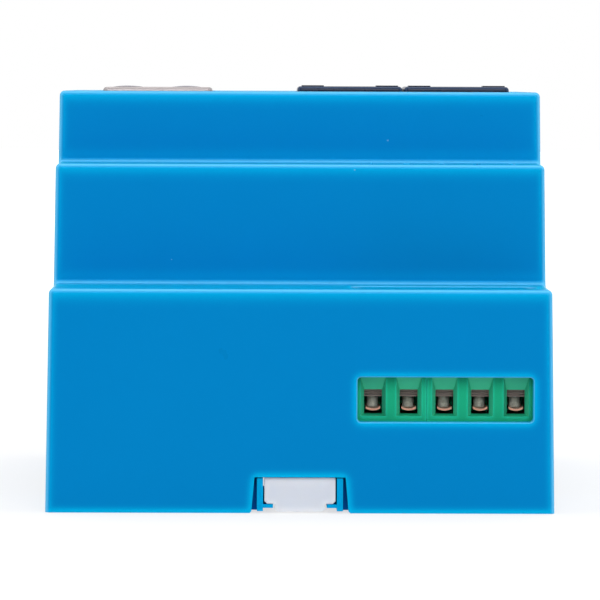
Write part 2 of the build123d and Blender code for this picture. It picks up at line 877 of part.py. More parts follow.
def jack_contacts(centre, top):
    """Eight spring contacts: a leg on the board, a bend near the top and a slope into the opening."""
    outer = plug_side + contact_leg_set
    inner = outer - contact_thickness
    bend = top - contact_bend_drop
    tip_y = plug_side - contact_tip_set
    tip_z = top - contact_tip_drop
    outline = [
        (outer, comms_board_top),
        (outer, bend),
        (inner - contact_thickness / 2, bend),
        (tip_y - contact_thickness / 2, tip_z),
        (tip_y + contact_thickness / 2, tip_z - contact_thickness / 2),
        (inner, bend - 2 * contact_thickness),
        (inner, comms_board_top),
    ]
    solids = []
    for x in contact_places():
        wire = along_x(outline, x - contact_width / 2, x + contact_width / 2)
        solids.append((Pos(centre, jack_place, 0) * wire).solid())
    return Compound(solids)


def make_network_shield():
    """The folded sheet round the network jack, with side spring fingers and two bows at the front edge."""
    half = jack_width / 2 + shield_sheet
    length = jack_length / 2 + shield_sheet
    body = box((-half, half), (-length, length), (comms_board_top, shield_top))
    body = round_box(body, jack_edge_radius, shield_fold_radius)
    inner = half - shield_sheet
    inner_length = length - shield_sheet
    room_z = (comms_board_top - past, shield_top - shield_sheet)
    room = box((-inner, inner), (-inner_length, inner_length), room_z)
    body -= round_box(room, jack_edge_radius - shield_sheet, shield_fold_radius - shield_sheet)
    body -= extrude(Pos(0, 0, shield_top) * plug_outline(shield_sheet), past, both=True)
    for side in (-1, 1):
        for end in (-1, 1):
            y = end * shield_finger_spacing / 2
            body -= finger_window(side, y, half)
            body += spring_finger(side, y, half)
    for side in (-1, 1):
        body += shield_bow(side * shield_bow_spacing / 2, shield_fold_radius - length)
    return Pos(network_jack_centre, jack_place, 0) * body


def finger_window(side, y, half):
    """The cut round one spring finger."""
    x = sorted((side * (half - 2 * shield_sheet), side * (half + shield_sheet)))
    reach = shield_finger_width / 2 + shield_sheet
    high = shield_top - shield_fold_radius - shield_sheet
    return box(x, (y - reach, y + reach), (high - shield_finger_length, high))


def spring_finger(side, y, half):
    """One finger: it leaves the wall near the top, bows out and turns back in."""
    top = shield_top - shield_fold_radius
    bow = half + shield_finger_bulge
    foot = top - shield_finger_length
    outline = [
        (half - shield_sheet, top),
        (half, top),
        (bow, top - 2 * shield_sheet),
        (bow, top - 4 * shield_sheet),
        (half, foot),
        (half - shield_sheet, foot),
        (bow - shield_sheet, top - 4 * shield_sheet),
    ]
    if side < 0:
        outline = [(-x, z) for x, z in reversed(outline)]
    return along_y(outline, y - shield_finger_width / 2, y + shield_finger_width / 2)


def shield_bow(x, front):
    """One shallow bow of sheet that stands up at the front edge."""
    half = shield_bow_width / 2
    low = shield_top - shield_sheet / 2
    crest = ThreePointArc((-half, 0), (0, shield_top + shield_bow_height - low), (half, 0))
    face = make_face(crest + Line((half, 0), (-half, 0)))
    middle = Plane.XZ.offset(-front - shield_bow_depth / 2)
    return Pos(x, 0, low) * extrude(middle * face, shield_bow_depth / 2, both=True)


def make_network_body():
    """The plastic body inside the shield."""
    fit = 2 * shield_gap
    return jack_body(network_jack_centre, jack_width - fit, jack_length - fit, network_body_top)


# Status lamps and light pipes

def make_status_lamps():
    """Small lamps soldered on the comms board."""
    solids = []
    for x in lamp_places:
        half_x = lamp_length / 2
        half_y = lamp_width / 2
        z = (comms_board_top, comms_board_top + lamp_height)
        lamp = box((x - half_x, x + half_x), (lamp_row - half_y, lamp_row + half_y), z)
        solids.append(lamp.solid())
    return Compound(solids)


def make_light_pipes():
    """Clear pipes that carry the lamps' light to the front face, each with a flange under the wall."""
    solids = []
    flange_top = front_height - wall - pipe_gap / 2
    for x in lamp_places:
        low = comms_board_top + lamp_height + pipe_gap
        pipe = upright(pipe_radius, x, lamp_row, low, front_height - pipe_sunk)
        pipe = chamfer(pipe.edges().sort_by(Axis.Z)[-1], pipe_chamfer)
        pipe += upright(pipe_flange_radius, x, lamp_row, flange_top - pipe_flange, flange_top)
        solids.append(pipe.solid())
    return Compound(solids)


# Parts on the power board and the chips

def make_transformer_core():
    """The ferrite core: a frame with a middle leg, held by the winding."""
    middle = power_board_top + winding_overhang + core_thickness / 2
    frame = Rectangle(core_width, core_length)
    room_x = (core_width - core_leg) / 2 - core_side
    room = Rectangle(room_x, core_length - 2 * core_yoke)
    for side in (-1, 1):
        frame -= Pos(side * (core_leg + room_x) / 2, 0) * room
    place = Pos(transformer_x, transformer_y, middle)
    body = extrude(place * frame, core_thickness / 2, both=True)
    return fillet(body.edges().filter_by(Axis.Z), edge_radius)


def make_transformer_winding():
    """The wound bobbin round the middle leg. Its lower flange stands on the board."""
    low = power_board_top
    high = low + 2 * winding_overhang + core_thickness
    half_x = core_width / 2 - core_side - winding_gap
    half_y = core_length / 2 - core_yoke - winding_gap
    body = Box(2 * half_x, 2 * half_y, high - low)
    body = fillet(body.edges().filter_by(Axis.Y), edge_radius)
    leg_room = (core_leg + 2 * winding_gap, 2 * half_y + past, core_thickness + 2 * winding_gap)
    body -= Box(*leg_room)
    return Pos(transformer_x, transformer_y, (low + high) / 2) * body


def make_capacitor(number):
    """An upright can with a rolled neck near the board, under the lower step's roof."""
    x = -width_rear / 2 + wall + capacitor_side_gap + capacitor_radius
    x += number * (2 * capacitor_radius + capacitor_gap)
    y = -base_length / 2 + wall + capacitor_end_gap + capacitor_radius
    low = power_board_top
    high = base_height - wall - capacitor_roof_gap
    body = upright(capacitor_radius, x, y, low, high)
    rim = body.edges().filter_by(GeomType.CIRCLE).sort_by(Axis.Z)
    body = chamfer(rim[-1], capacitor_rim)
    neck_low = low + neck_place
    neck = upright(capacitor_radius + neck_depth, x, y, neck_low, neck_low + neck_height)
    neck -= upright(capacitor_radius - neck_depth, x, y, low, high)
    return body - neck


def make_fuse():
    """A boxed fuse standing on the board beside the transformer."""
    x = transformer_x + core_width / 2 + fuse_gap + fuse_width / 2
    y = transformer_y - fuse_shift
    body = Box(fuse_width, fuse_length, fuse_height)
    body = fillet(body.edges().filter_by(Axis.Z), edge_radius)
    return Pos(x, y, power_board_top + fuse_height / 2) * body


def make_varistor(number):
    """A disc on two legs, behind the supply terminals."""
    row_low = supply_centre - row_width(supply_pole_counts) / 2
    half = varistor_thickness / 2
    x = row_low + half + number * varistor_pitch
    y = block_back + varistor_block_gap + varistor_radius
    z = power_board_top + varistor_leg + varistor_radius
    disc = extrude(Plane((x, y, z), (0, 1, 0), (1, 0, 0)) * Circle(varistor_radius), half, both=True)
    disc = chamfer(disc.edges().filter_by(GeomType.CIRCLE), varistor_rim)
    for side in (-1, 1):
        leg_y = y + side * varistor_radius / 2
        disc += upright(varistor_leg_radius, x, leg_y, power_board_top, z)
    return disc


def surface_chip(size, pins):
    """A flat chip with pins along two sides, drawn on the XY plane."""
    length, width, height = size
    body = Pos(0, 0, height / 2) * Box(length, width, height)
    body = chamfer(body.edges().group_by(Axis.Z)[-1], chip_chamfer)
    for i in range(pins):
        x = (i - (pins - 1) / 2) * chip_pin_pitch
        half = chip_pin_width / 2
        reach = width / 2 + chip_pin_reach
        body += box((x - half, x + half), (-reach, reach), (0, chip_pin_thickness))
    return body


def make_measuring_chip():
    """The metering chip on the riser board's face towards the supply terminals."""
    z = (power_board_top + comms_board_low) / 2
    return Pos(0, riser_place, z) * Rot(90, 0, 0) * surface_chip(measuring_chip_size, measuring_chip_pins)


def make_processor_chip():
    """The processor on the comms board's lower face."""
    x = riser_tab_spacing / 2 - riser_tab_width / 2
    chip = surface_chip(processor_chip_size, processor_chip_pins)
    return Pos(x, -jack_length / 2, comms_board_low) * Rot(180, 0, 0) * chip


# The nodes

os.makedirs("parts", exist_ok=True)


def write(name, shape):
    """Writes one node's file."""
    shape.label = name
    export_step(shape, f"parts/{name}.step")


def write_terminals(name, row):
    """Writes a row's pole_counts, cages, guards and screws."""
    centre, pole_counts, turn = row
    poles = pole_places(pole_counts)
    start = 0
    for number, count in enumerate(pole_counts, 1):
        block = terminal_block(poles[start:start + count])
        write(f"{name}_terminal_block_{number}", set_row(block, centre, turn))
        start += count
    cages = [set_row(clamp_cage(x), centre, turn).solid() for x in poles]
    write(f"{name}_clamp_cages", Compound(cages))
    for number, x in enumerate(poles, 1):
        screw = clamp_screw(x, number * screw_slot_turn)
        write(f"{name}_wire_guard_{number}", set_row(wire_guard(x), centre, turn))
        write(f"{name}_clamp_screw_{number}", set_row(screw, centre, turn))


write("cover", make_cover())
write("rear_base", make_rear_base())
write("rail_latch", make_rail_latch())
write("power_board", make_power_board())
write("comms_board", make_comms_board())
write("riser_board", make_riser_board())
write("board_screws", make_board_screws())
write("comms_board_screws", make_comms_screws())
write_terminals("supply", terminal_rows[0])
write_terminals("sensor", terminal_rows[1])
write("network_jack_shield", make_network_shield())
write("network_jack_body", make_network_body())
write("network_jack_contacts", jack_contacts(network_jack_centre, network_body_top))
for name, centre in (("left", bus_jack_left), ("right", bus_jack_right)):
    write(f"bus_jack_{name}_body", bus_jack_body(centre))
    write(f"bus_jack_{name}_contacts", jack_contacts(centre, jack_top))
write("status_lamps", make_status_lamps())
write("light_pipes", make_light_pipes())
write("transformer_core", make_transformer_core())
write("transformer_winding", make_transformer_winding())
write("bulk_capacitor_left", make_capacitor(0))
write("bulk_capacitor_right", make_capacitor(1))
write("supply_fuse", make_fuse())
for number in range(varistor_count):
    write(f"surge_varistor_{number + 1}", make_varistor(number))
write("measuring_chip", make_measuring_chip())
write("processor_chip", make_processor_chip())
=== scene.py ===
import json
import math

import bmesh
import bpy
from mathutils import Matrix, Vector

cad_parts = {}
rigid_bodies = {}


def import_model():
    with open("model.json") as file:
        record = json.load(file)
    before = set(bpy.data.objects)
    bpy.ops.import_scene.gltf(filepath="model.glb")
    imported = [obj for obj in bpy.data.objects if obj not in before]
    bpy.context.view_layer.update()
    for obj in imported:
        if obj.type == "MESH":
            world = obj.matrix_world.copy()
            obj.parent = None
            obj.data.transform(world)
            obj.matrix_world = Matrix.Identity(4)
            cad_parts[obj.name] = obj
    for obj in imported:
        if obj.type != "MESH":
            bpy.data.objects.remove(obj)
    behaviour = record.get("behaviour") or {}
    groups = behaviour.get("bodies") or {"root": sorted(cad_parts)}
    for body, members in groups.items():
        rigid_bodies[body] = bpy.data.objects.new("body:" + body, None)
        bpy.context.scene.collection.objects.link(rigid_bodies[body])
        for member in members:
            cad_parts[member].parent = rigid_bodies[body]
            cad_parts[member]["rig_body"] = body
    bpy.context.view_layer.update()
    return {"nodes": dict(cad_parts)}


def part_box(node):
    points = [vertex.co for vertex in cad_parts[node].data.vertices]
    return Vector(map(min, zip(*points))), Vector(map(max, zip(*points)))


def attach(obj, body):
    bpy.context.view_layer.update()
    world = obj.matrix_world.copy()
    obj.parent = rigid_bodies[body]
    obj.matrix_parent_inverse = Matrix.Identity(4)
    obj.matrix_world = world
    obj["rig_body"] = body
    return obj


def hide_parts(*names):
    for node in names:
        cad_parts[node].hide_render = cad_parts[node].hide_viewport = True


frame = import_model()

# Camera
# A long lens looks along +Y at the supply end, a little from the left and just above the front face,
# which lies up. Its place was fitted to the housing's edges in the photograph.
camera_place = (-0.0059, -0.621, 0.060)
camera_lens = 249.2
camera_sensor = 36.0
camera_nearest = 0.01
camera_down = 3.008
camera_right = 0.576
camera_roll = 0.23

camera = bpy.data.objects.new("camera", bpy.data.cameras.new("camera"))
bpy.context.scene.collection.objects.link(camera)
camera.data.lens = camera_lens
camera.data.sensor_width = camera_sensor
camera.data.clip_start = camera_nearest
camera.matrix_world = (
    Matrix.Translation(camera_place)
    @ Matrix.Rotation(math.radians(-camera_right), 4, "Z")
    @ Matrix.Rotation(math.radians(90 - camera_down), 4, "X")
    @ Matrix.Rotation(math.radians(camera_roll), 4, "Z")
)
bpy.context.scene.camera = camera
bpy.context.scene.view_settings.view_transform = "Standard"

# Room
# The object stands on a softly lit white table under soft boxes. The room is white behind it and overhead
# and dark behind the camera, so the flat ends show their own colour and the rounded edges catch the light.
# The table is whiter away from the object, and clear from below, so the rail side can be looked at.
room_dark = 0.02
room_light = 1.0
room_dark_until = -0.8
room_light_from = 0.3
lamp_aim = (0.0, 0.0, 0.03)
floor_size = 6.0
floor_drop = 0.00004
floor_grey = 0.3
floor_light = 0.4
floor_lift = 0.67
floor_far_lift = 1.0
floor_near = 0.12
floor_far = 0.7


def add_node(tree, kind, **inputs):
    """Adds a node and sets its inputs by name, with underscores for spaces."""
    node = tree.nodes.new(kind)
    for name, value in inputs.items():
        node.inputs[name.replace("_", " ")].default_value = value
    return node


def grey(value):
    """A plain grey as a colour socket wants it."""
    return (value, value, value, 1.0)


world = bpy.data.worlds.new("studio")
bpy.context.scene.world = world
world.use_nodes = True
tree = world.node_tree
tree.nodes.clear()
background = add_node(tree, "ShaderNodeBackground", Color=grey(1.0), Strength=1.0)
room = add_node(tree, "ShaderNodeBackground", Color=grey(1.0))
direction = add_node(tree, "ShaderNodeTexCoord")
parts = add_node(tree, "ShaderNodeSeparateXYZ")
fade = add_node(
    tree,
    "ShaderNodeMapRange",
    From_Min=room_dark_until,
    From_Max=room_light_from,
    To_Min=room_dark,
    To_Max=room_light,
)
fade.interpolation_type = "SMOOTHSTEP"
path = add_node(tree, "ShaderNodeLightPath")
choose = add_node(tree, "ShaderNodeMixShader")
shown = add_node(tree, "ShaderNodeMath")
shown.operation = "MAXIMUM"
out = add_node(tree, "ShaderNodeOutputWorld")
tree.links.new(direction.outputs["Generated"], parts.inputs["Vector"])
tree.links.new(parts.outputs["Y"], fade.inputs["Value"])
tree.links.new(fade.outputs["Result"], room.inputs["Strength"])
tree.links.new(path.outputs["Is Camera Ray"], shown.inputs[0])
tree.links.new(path.outputs["Is Transmission Ray"], shown.inputs[1])
tree.links.new(shown.outputs["Value"], choose.inputs["Fac"])
tree.links.new(room.outputs["Background"], choose.inputs[1])
tree.links.new(background.outputs["Background"], choose.inputs[2])
tree.links.new(choose.outputs["Shader"], out.inputs["Surface"])


def soft_box(name, place, size, power):
    """A square lamp that points at the object and isn't seen by the camera."""
    data = bpy.data.lights.new(name, "AREA")
    data.shape = "SQUARE"
    data.size = size
    data.energy = power
    lamp = bpy.data.objects.new(name, data)
    bpy.context.scene.collection.objects.link(lamp)
    lamp.location = place
    lamp.rotation_euler = (Vector(lamp_aim) - Vector(place)).to_track_quat("-Z", "Y").to_euler()
    lamp.visible_camera = False


soft_box("overhead_box", place=(0.0, 0.05, 0.75), size=0.7, power=2.0)
soft_box("front_box", place=(0.1, -1.2, 0.62), size=0.8, power=10.0)
soft_box("left_box", place=(-1.0, -0.5, 0.5), size=0.6, power=3.0)
soft_box("right_box", place=(1.0, -0.4, 0.5), size=0.6, power=3.0)

floor_reach = floor_size / 2
floor_signs = ((-1, -1), (1, -1), (1, 1), (-1, 1))
floor_corners = [(x * floor_reach, y * floor_reach, -floor_drop) for x, y in floor_signs]
floor_data = bpy.data.meshes.new("floor")
floor_data.from_pydata(floor_corners, [], [(0, 1, 2, 3)])
floor = bpy.data.objects.new("floor", floor_data)
bpy.context.scene.collection.objects.link(floor)
paper = bpy.data.materials.new("white_sweep")
paper.use_nodes = True
tree = paper.node_tree
tree.nodes.clear()
matt = add_node(tree, "ShaderNodeBsdfDiffuse", Color=grey(floor_grey))
lift = add_node(tree, "ShaderNodeEmission", Color=grey(1.0))
away = add_node(tree, "ShaderNodeVectorMath")
away.operation = "LENGTH"
where = add_node(tree, "ShaderNodeTexCoord")
whiter = add_node(
    tree,
    "ShaderNodeMapRange",
    From_Min=floor_near,
    From_Max=floor_far,
    To_Min=floor_lift,
    To_Max=floor_far_lift,
)
amount = add_node(tree, "ShaderNodeMix", A=floor_light)
path = add_node(tree, "ShaderNodeLightPath")
both = add_node(tree, "ShaderNodeAddShader")
surface = add_node(tree, "ShaderNodeNewGeometry")
clear = add_node(tree, "ShaderNodeBsdfTransparent")
one_sided = add_node(tree, "ShaderNodeMixShader")
out = add_node(tree, "ShaderNodeOutputMaterial")
tree.links.new(where.outputs["Object"], away.inputs[0])
tree.links.new(away.outputs["Value"], whiter.inputs["Value"])
tree.links.new(path.outputs["Is Camera Ray"], amount.inputs["Factor"])
tree.links.new(whiter.outputs["Result"], amount.inputs["B"])
tree.links.new(amount.outputs["Result"], lift.inputs["Strength"])
tree.links.new(matt.outputs["BSDF"], both.inputs[0])
tree.links.new(lift.outputs["Emission"], both.inputs[1])
tree.links.new(surface.outputs["Backfacing"], one_sided.inputs["Fac"])
tree.links.new(both.outputs["Shader"], one_sided.inputs[1])
tree.links.new(clear.outputs["BSDF"], one_sided.inputs[2])
tree.links.new(one_sided.outputs["Shader"], out.inputs["Surface"])
floor.data.materials.append(paper)

# Housing
# The one-piece cover is moulded in blue ABS with a fine spark-eroded grain. Its colour has a painted glow
# for about a millimetre from its outer edges, where the plastic lets light in, painted highlights lighter
# still on the rounded rims, and painted navy shade in deep corners and gaps.
housing_colour = (0.0004, 0.203, 0.52, 1.0)
# A painted glow colour near the outer edges
housing_glow = (0.0004, 0.46, 0.80, 1.0)
# A painted highlight colour for the rounded rims
housing_rim_highlight = (0.11, 0.48, 0.82, 1.0)
# A painted shade colour for deep corners and gaps
housing_corner_shade = (0.0002, 0.045, 0.34, 1.0)
housing_tint = (0.02, 0.5, 1.0, 1.0)
edge_samples = 8
corner_reach = 0.003

# The height up to which the glow below an upper edge is reduced, and the height over which it returns
low_glow_end = 0.015
low_glow_fade = 0.01

# Each pair holds a mask's values where it starts and where it is full
near_edge = (0.03, 0.48)
below_edge = (0.035, 0.58)
open_outside = (0.62, 0.92)
# This pair is for the painted shade in deep corners
shaded_corner = (0.45, 0.12)
rim_turn = (0.995, 0.78)


def new_group(name, numbers, colours):
    """An empty shader group with named inputs for a finish. Returns the tree and its two end nodes."""
    group = bpy.data.node_groups.new(name, "ShaderNodeTree")
    for label in colours:
        group.interface.new_socket(label, in_out="INPUT", socket_type="NodeSocketColor")
    for label in numbers:
        group.interface.new_socket(label, in_out="INPUT", socket_type="NodeSocketFloat")
    group.interface.new_socket("Colour", in_out="OUTPUT", socket_type="NodeSocketColor")
    group.interface.new_socket("Roughness", in_out="OUTPUT", socket_type="NodeSocketFloat")
    group.interface.new_socket("Normal", in_out="OUTPUT", socket_type="NodeSocketVector")
    return group, group.nodes.new("NodeGroupInput"), group.nodes.new("NodeGroupOutput")


def math_node(group, operation, first, second):
    """A Math node on two sockets or numbers. Returns its output socket."""
    node = add_node(group, "ShaderNodeMath")
    node.operation = operation
    for place, value in enumerate((first, second)):
        if isinstance(value, (int, float)):
            node.inputs[place].default_value = value
        else:
            group.links.new(value, node.inputs[place])
    return node.outputs["Value"]


def mix_colours(group, amount, first, second):
    """Mixes two colour sockets by a socket. Returns the result's socket."""
    node = add_node(group, "ShaderNodeMix")
    node.data_type = "RGBA"
    group.links.new(amount, node.inputs["Factor"])
    group.links.new(first, node.inputs[6])
    group.links.new(second, node.inputs[7])
    return node.outputs[2]


def fade_node(group, value, start, stop):
    """Fades a socket from 0 at the start to 1 at the stop. Returns its output socket."""
    node = add_node(group, "ShaderNodeMapRange", From_Min=start, From_Max=stop)
    group.links.new(value, node.inputs["Value"])
    return node.outputs["Result"]


def noise_node(group, where, **settings):
    """A noise in the piece's own coordinates."""
    node = add_node(group, "ShaderNodeTexNoise", **settings)
    group.links.new(where.outputs["Object"], node.inputs["Vector"])
    return node


def vary_gloss(group, taken, given, noise, range_of_gloss):
    """Varies the gloss about its given value with a noise, as the group's roughness."""
    offset = math_node(group, "SUBTRACT", noise.outputs["Fac"], 0.5)
    spread = math_node(group, "MULTIPLY", offset, range_of_gloss)
    group.links.new(math_node(group, "ADD", taken.outputs["Gloss"], spread), given.inputs["Roughness"])


def raise_bump(group, given, noise, strength, distance):
    """Turns a noise into small bumps, as the group's normal."""
    bump = add_node(group, "ShaderNodeBump", Distance=distance)
    group.links.new(noise.outputs["Fac"], bump.inputs["Height"])
    group.links.new(strength, bump.inputs["Strength"])
    group.links.new(bump.outputs["Normal"], given.inputs["Normal"])


def blurred_normal(group, reach):
    """The normal blurred over the reach, which turns near an edge."""
    blurred = group.nodes.new("ShaderNodeBevel")
    blurred.samples = edge_samples
    group.links.new(reach, blurred.inputs["Radius"])
    return blurred.outputs["Normal"]


def open_sky(group, alone):
    """How open a surface is, from 0 in a deep corner to 1 on a flat, among its own faces alone or all."""
    node = add_node(group, "ShaderNodeAmbientOcclusion", Distance=corner_reach)
    node.samples = edge_samples
    node.only_local = alone
    return node.outputs["AO"]


def edge_glow(group, where, reach, low_glow):
    """
    A mask for painted glow that fades out from an outer edge, twice as far below an upper one, where light
    soaks in.
    Low on the piece, the glow below an upper edge is reduced to the low glow's share.
    """
    surface = add_node(group, "ShaderNodeNewGeometry")
    turn = add_node(group, "ShaderNodeVectorMath")
    turn.operation = "DISTANCE"
    group.links.new(blurred_normal(group, reach), turn.inputs[0])
    group.links.new(surface.outputs["Normal"], turn.inputs[1])
    near = fade_node(group, turn.outputs["Value"], *near_edge)
    rise = add_node(group, "ShaderNodeVectorMath")
    rise.operation = "SUBTRACT"
    twice = math_node(group, "MULTIPLY", reach, 2.0)
    group.links.new(blurred_normal(group, twice), rise.inputs[0])
    group.links.new(surface.outputs["Normal"], rise.inputs[1])
    upward = add_node(group, "ShaderNodeSeparateXYZ")
    group.links.new(rise.outputs["Vector"], upward.inputs["Vector"])
    soaked = fade_node(group, upward.outputs["Z"], *below_edge)
    height = add_node(group, "ShaderNodeSeparateXYZ")
    group.links.new(where.outputs["Object"], height.inputs["Vector"])
    above = fade_node(group, height.outputs["Z"], low_glow_end, low_glow_end + low_glow_fade)
    share = math_node(group, "MAXIMUM", above, low_glow)
    below = math_node(group, "MULTIPLY", soaked, share)
    outer = fade_node(group, open_sky(group, True), *open_outside)
    return math_node(group, "MULTIPLY", math_node(group, "MAXIMUM", near, below), outer)


def rim_mask(group, where):
    """A mask that is 1 where a surface turns away from all three axes, as a rounded rim does."""
    length = add_node(group, "ShaderNodeVectorMath")
    length.operation = "ABSOLUTE"
    group.links.new(where.outputs["Normal"], length.inputs[0])
    parts = add_node(group, "ShaderNodeSeparateXYZ")
    group.links.new(length.outputs["Vector"], parts.inputs["Vector"])
    most = math_node(group, "MAXIMUM", parts.outputs["X"], parts.outputs["Y"])
    most = math_node(group, "MAXIMUM", most, parts.outputs["Z"])
    return fade_node(group, most, *rim_turn)


dust_cells = 230.0
dust_size = 0.035
dust_rarity = 0.72
dust_wobble = 4000.0
dust_colour = (0.25, 0.50, 0.68, 1.0)


def dust_mask(group, where):
    """A mask of a few tiny specks, one near the middle of a rare cell, in uneven shapes."""
    wobble = noise_node(group, where, Scale=dust_wobble)
    cells = add_node(group, "ShaderNodeTexVoronoi", Scale=dust_cells)
    group.links.new(where.outputs["Object"], cells.inputs["Vector"])
    chance = add_node(group, "ShaderNodeSeparateXYZ")
    group.links.new(cells.outputs["Color"], chance.inputs["Vector"])
    rare = math_node(group, "GREATER_THAN", chance.outputs["X"], dust_rarity)
    widest = math_node(group, "MULTIPLY", wobble.outputs["Fac"], 2 * dust_size)
    reach = math_node(group, "MULTIPLY", widest, chance.outputs["Y"])
    near = math_node(group, "LESS_THAN", cells.outputs["Distance"], reach)
    return math_node(group, "MULTIPLY", rare, near)


def pale_dust(group):
    """The colour of lint and dust, as a socket."""
    node = add_node(group, "ShaderNodeRGB")
    node.outputs["Color"].default_value = dust_colour
    return node.outputs["Color"]


# The moulded group: slow colour mottle, a painted glow near outer edges, painted highlights on rounded
# rims, painted shade in deep corners, specks of dust, grain and patchy gloss
mottle_scale = 70.0
mottle_darkest = 0.86
gloss_patch_scale = 240.0
gloss_patch_range = 0.18
grain_height = 0.00004

moulded, taken, given = new_group(
    "moulded_surface",
    (
        "Mottle",
        "Glow",
        "Glow Reach",
        "Low Glow",
        "Rim Highlight",
        "Corner Shade",
        "Dust",
        "Gloss",
        "Grain Size",
        "Grain Depth",
    ),
    ("Colour", "Glow Colour", "Rim Highlight Colour", "Corner Shade Colour"),
)
where = add_node(moulded, "ShaderNodeTexCoord")
mottle = noise_node(moulded, where, Scale=mottle_scale, Detail=3.0, Roughness=0.55)
darker = add_node(moulded, "ShaderNodeHueSaturation", Value=mottle_darkest)
moulded.links.new(taken.outputs["Colour"], darker.inputs["Color"])
shade = math_node(moulded, "MULTIPLY", mottle.outputs["Fac"], taken.outputs["Mottle"])
mottled = mix_colours(moulded, shade, taken.outputs["Colour"], darker.outputs["Color"])
rim = rim_mask(moulded, where)
# Painted glow: near outer edges the colour is lightened towards the glow colour
glow = edge_glow(moulded, where, taken.outputs["Glow Reach"], taken.outputs["Low Glow"])
glow = math_node(moulded, "MULTIPLY", math_node(moulded, "MAXIMUM", glow, rim), taken.outputs["Glow"])
glowing = mix_colours(moulded, glow, mottled, taken.outputs["Glow Colour"])
# Painted highlight: the rounded rims are lightened towards a light highlight colour
painted_highlight = math_node(moulded, "MULTIPLY", rim, taken.outputs["Rim Highlight"])
highlighted = mix_colours(moulded, painted_highlight, glowing, taken.outputs["Rim Highlight Colour"])
# Painted shade: in deep corners and gaps the colour darkens towards a darker shade colour
corner = fade_node(moulded, open_sky(moulded, False), *shaded_corner)
shaded = math_node(moulded, "MULTIPLY", corner, taken.outputs["Corner Shade"])
shade_painted = mix_colours(moulded, shaded, highlighted, taken.outputs["Corner Shade Colour"])
specks = math_node(moulded, "MULTIPLY", dust_mask(moulded, where), taken.outputs["Dust"])
moulded.links.new(mix_colours(moulded, specks, shade_painted, pale_dust(moulded)), given.inputs["Colour"])
gloss_patches = noise_node(moulded, where, Scale=gloss_patch_scale, Detail=4.0)
vary_gloss(moulded, taken, given, gloss_patches, gloss_patch_range)
grain = noise_node(moulded, where, Detail=2.0, Roughness=0.7)
moulded.links.new(taken.outputs["Grain Size"], grain.inputs["Scale"])
raise_bump(moulded, given, grain, taken.outputs["Grain Depth"], grain_height)


def finish_from(name, group, settings, constants):
    """A material whose Principled shader takes some sockets from a group and plain values in the rest."""
    material = bpy.data.materials.new(name)
    material.use_nodes = True
    tree = material.node_tree
    shader = tree.nodes["Principled BSDF"]
    effect = tree.nodes.new("ShaderNodeGroup")
    effect.node_tree = group
    for label, value in settings.items():
        effect.inputs[label].default_value = value
    tree.links.new(effect.outputs["Colour"], shader.inputs["Base Color"])
    tree.links.new(effect.outputs["Roughness"], shader.inputs["Roughness"])
    tree.links.new(effect.outputs["Normal"], shader.inputs["Normal"])
    for label, value in constants.items():
        shader.inputs[label].default_value = value
    return material


def plastic(
    name,
    colour,
    rim_highlight_colour,
    gloss,
    mottle=0.5,
    edge=0.6,
    glow_colour=None,
    glow=0.6,
    reach=0.0016,
    low_glow=1.0,
    corner_shade_colour=None,
    deep=0.0,
    dust=0.0,
    grain_size=3500.0,
    grain_depth=0.25,
    **constants,
):
    """A moulded plastic, with a painted glow near its outer edges, painted highlights on its rounded rims,
    and painted shade in deep corners where deep is set. Any other name is one of the shader's own sockets.
    """
    settings = {
        "Colour": colour,
        "Rim Highlight Colour": rim_highlight_colour,
        "Glow Colour": glow_colour or rim_highlight_colour,
        "Mottle": mottle,
        "Glow": glow,
        "Glow Reach": reach,
        "Low Glow": low_glow,
        "Rim Highlight": edge,
        "Corner Shade Colour": corner_shade_colour or colour,
        "Corner Shade": deep,
        "Dust": dust,
        "Gloss": gloss,
        "Grain Size": grain_size,
        "Grain Depth": grain_depth,
    }
    plain = {label.replace("_", " "): value for label, value in constants.items()}
    return finish_from(name, moulded, settings, plain)


def dress(material, *names):
    """Gives CAD nodes a material."""
    for name in names:
        for slot in frame["nodes"][name].material_slots:
            slot.material = material


housing_blue = plastic(
    "housing_blue",
    colour=housing_colour,
    rim_highlight_colour=housing_rim_highlight,
    gloss=0.32,
    mottle=0.15,
    edge=0.8,
    glow_colour=housing_glow,
    glow=0.78,
    reach=0.0018,
    low_glow=0.1,
    corner_shade_colour=housing_corner_shade,
    deep=0.9,
    dust=0.5,
    Specular_Tint=housing_tint,
    Sheen_Weight=0.5,
    Sheen_Roughness=0.35,
    Sheen_Tint=(0.0, 0.75, 0.95, 1.0),
)
dress(housing_blue, "cover")

# Rear base
# The tray under the cover comes from the same blue, from another mould, a little duller. Like the
# cover, it has a painted glow near its edges, painted highlights on its rims and painted shade in deep
# corners.
base_blue = plastic(
    "base_blue",
    colour=(0.0004, 0.205, 0.54, 1.0),
    rim_highlight_colour=housing_rim_highlight,
    gloss=0.42,
    mottle=0.2,
    edge=0.6,
    glow_colour=housing_glow,
    glow=0.6,
    corner_shade_colour=housing_corner_shade,
    deep=0.9,
    Specular_Tint=housing_tint,
)
dress(base_blue, "rear_base")

# Rail latch
# The slider is moulded in natural white polyamide, which is a little milky and slightly cold. Its rounded
# rims carry a painted white highlight, with a faint painted glow near its edges.
latch_white = plastic(
    "latch_white",
    colour=(0.66, 0.70, 0.78, 1.0),
    rim_highlight_colour=(0.98, 0.99, 1.0, 1.0),
    gloss=0.38,
    mottle=0.3,
    edge=1.0,
    glow=0.3,
    dust=0.2,
    Subsurface_Weight=0.3,
    Subsurface_Radius=(0.6, 0.8, 1.0),
    Subsurface_Scale=0.0008,
)
dress(latch_white, "rail_latch")

